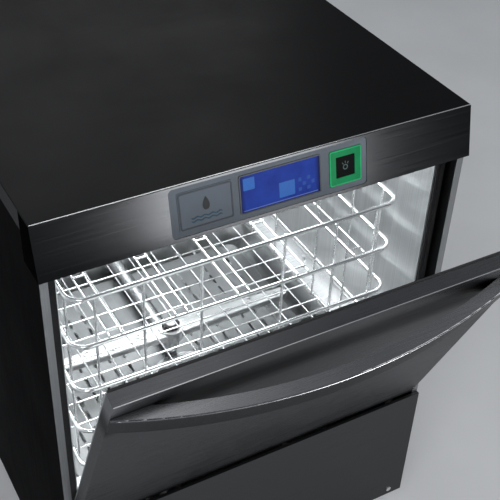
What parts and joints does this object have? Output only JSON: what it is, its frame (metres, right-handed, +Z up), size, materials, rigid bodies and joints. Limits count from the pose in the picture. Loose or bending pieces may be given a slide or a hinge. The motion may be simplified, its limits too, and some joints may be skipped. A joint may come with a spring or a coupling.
{
  "type": "undercounter dishwasher",
  "caption": "Undercounter commercial dishwasher with a drop-down front door, touch control panel, wire glass rack and spinning wash arms.",
  "frame": {"origin": "on the floor, under the middle of the cabinet", "axes": "+Z up, -Y towards the user, +X to the right seen from behind the door handle, facing the machine"},
  "size_m": [0.6, 0.8564, 0.82],
  "materials": {
    "panel_steel": "satin brushed stainless steel",
    "bright_steel": "bright stainless steel",
    "zinc_steel": "plain sheet",
    "control_grey": "smooth moulded",
    "label_silver": "satin",
    "display_glass": "gloss",
    "lamp_green": "translucent",
    "black_plastic": "moulded",
    "rubber_black": "matt",
    "foam": "open foam",
    "wire_steel": "polished wire",
    "motor_grey": "painted casting",
    "pump_plastic": "moulded",
    "arm_steel": "satin",
    "white_plastic": "moulded",
    "handle_metal": "satin anodised"
  },
  "bodies": {
    "cabinet": {"arm_nuts": "black_plastic", "base_tray": "zinc_steel", "boiler_heater": "arm_steel", "boiler_insulation": "foam", "boiler_tank": "bright_steel", "cable_gland": "black_plastic", "chamber_collar": "bright_steel", "control_cable": "rubber_black", "control_fascia": "panel_steel", "control_panel_plate": "control_grey", "display_screen": "display_glass", "door_seal": "rubber_black", "door_springs": "zinc_steel", "door_switch": "white_plastic", "dosing_hoses": "white_plastic", "dosing_pumps": "white_plastic", "drain_hose": "rubber_black", "drain_pump": "pump_plastic", "electrical_box": "zinc_steel", "electrical_box_cover": "zinc_steel", "inlet_valve": "white_plastic", "label_plate": "label_silver", "left_side_panel": "bright_steel", "lower_front_panel": "bright_steel", "mounting_brackets": "zinc_steel", "panel_screws": "bright_steel", "power_cable": "rubber_black", "pump_hoses": "rubber_black", "pump_housing": "pump_plastic", "pump_motor": "motor_grey", "rack_guides": "bright_steel", "rear_panel": "zinc_steel", "right_side_panel": "bright_steel", "rinse_hoses": "rubber_black", "rinse_pump": "motor_grey", "riser_pipe": "pump_plastic", "start_button_ring": "lamp_green", "start_switch": "black_plastic", "strainer_basket": "arm_steel", "supply_pipes": "arm_steel", "tank_heater": "arm_steel", "tank_strainers": "arm_steel", "top_cover": "panel_steel", "wash_chamber": "bright_steel", "wash_tank": "bright_steel"},
    "door": {"door_outer_skin": "panel_steel", "door_inner_panel": "bright_steel", "door_insulation": "foam", "door_handle": "handle_metal", "hinge_levers": "zinc_steel", "door_magnet": "white_plastic"},
    "lower_arm": {"lower_wash_arm": "arm_steel"},
    "upper_arm": {"upper_wash_arm": "arm_steel"},
    "rack": {"glass_rack": "wire_steel", "rack_dividers": "wire_steel"},
    "start_key": {"start_button": "black_plastic"},
    "wash_pump_rotor": {"pump_impeller": "arm_steel"},
    "detergent_rotor": {"detergent_pump_rotor": "black_plastic"},
    "rinse_aid_rotor": {"rinse_aid_pump_rotor": "black_plastic"},
    "feet": {"levelling_feet": "bright_steel"}
  },
  "joints": [
    {"name": "door_hinge", "type": "hinge", "parent": "cabinet", "child": "door", "pos_m": [0, -0.285, 0.32], "axis": [1, 0, 0], "range_deg": [-23.5, 66.5], "deforming": ["door_springs"]},
    {"name": "lower_arm_spin", "type": "hinge", "parent": "cabinet", "child": "lower_arm", "pos_m": [0, 0, 0.3135], "axis": [0, 0, 1], "continuous": true},
    {"name": "upper_arm_spin", "type": "hinge", "parent": "cabinet", "child": "upper_arm", "pos_m": [0, 0, 0.71875], "axis": [0, 0, 1], "continuous": true},
    {"name": "rack_slide", "type": "slide", "parent": "cabinet", "child": "rack", "axis": [0, -1, 0], "range_m": [0, 0.028]},
    {"name": "start_button_press", "type": "slide", "parent": "cabinet", "child": "start_key", "axis": [0, 0.9778, -0.2095], "range_m": [0, 0.002], "stiffness_N_per_m": 800},
    {"name": "wash_pump_spin", "type": "hinge", "parent": "cabinet", "child": "wash_pump_rotor", "pos_m": [-0.028, 0.13, 0.125], "axis": [0, 1, 0], "continuous": true},
    {"name": "detergent_rotor_spin", "type": "hinge", "parent": "cabinet", "child": "detergent_rotor", "pos_m": [-0.214, -0.262, 0.165], "axis": [0, -1, 0], "continuous": true},
    {"name": "rinse_aid_rotor_spin", "type": "hinge", "parent": "cabinet", "child": "rinse_aid_rotor", "pos_m": [-0.13, -0.262, 0.165], "axis": [0, -1, 0], "continuous": true},
    {"name": "feet_height", "type": "slide", "parent": "cabinet", "child": "feet", "axis": [0, 0, -1], "range_m": [0, 0.03]}
  ]
}
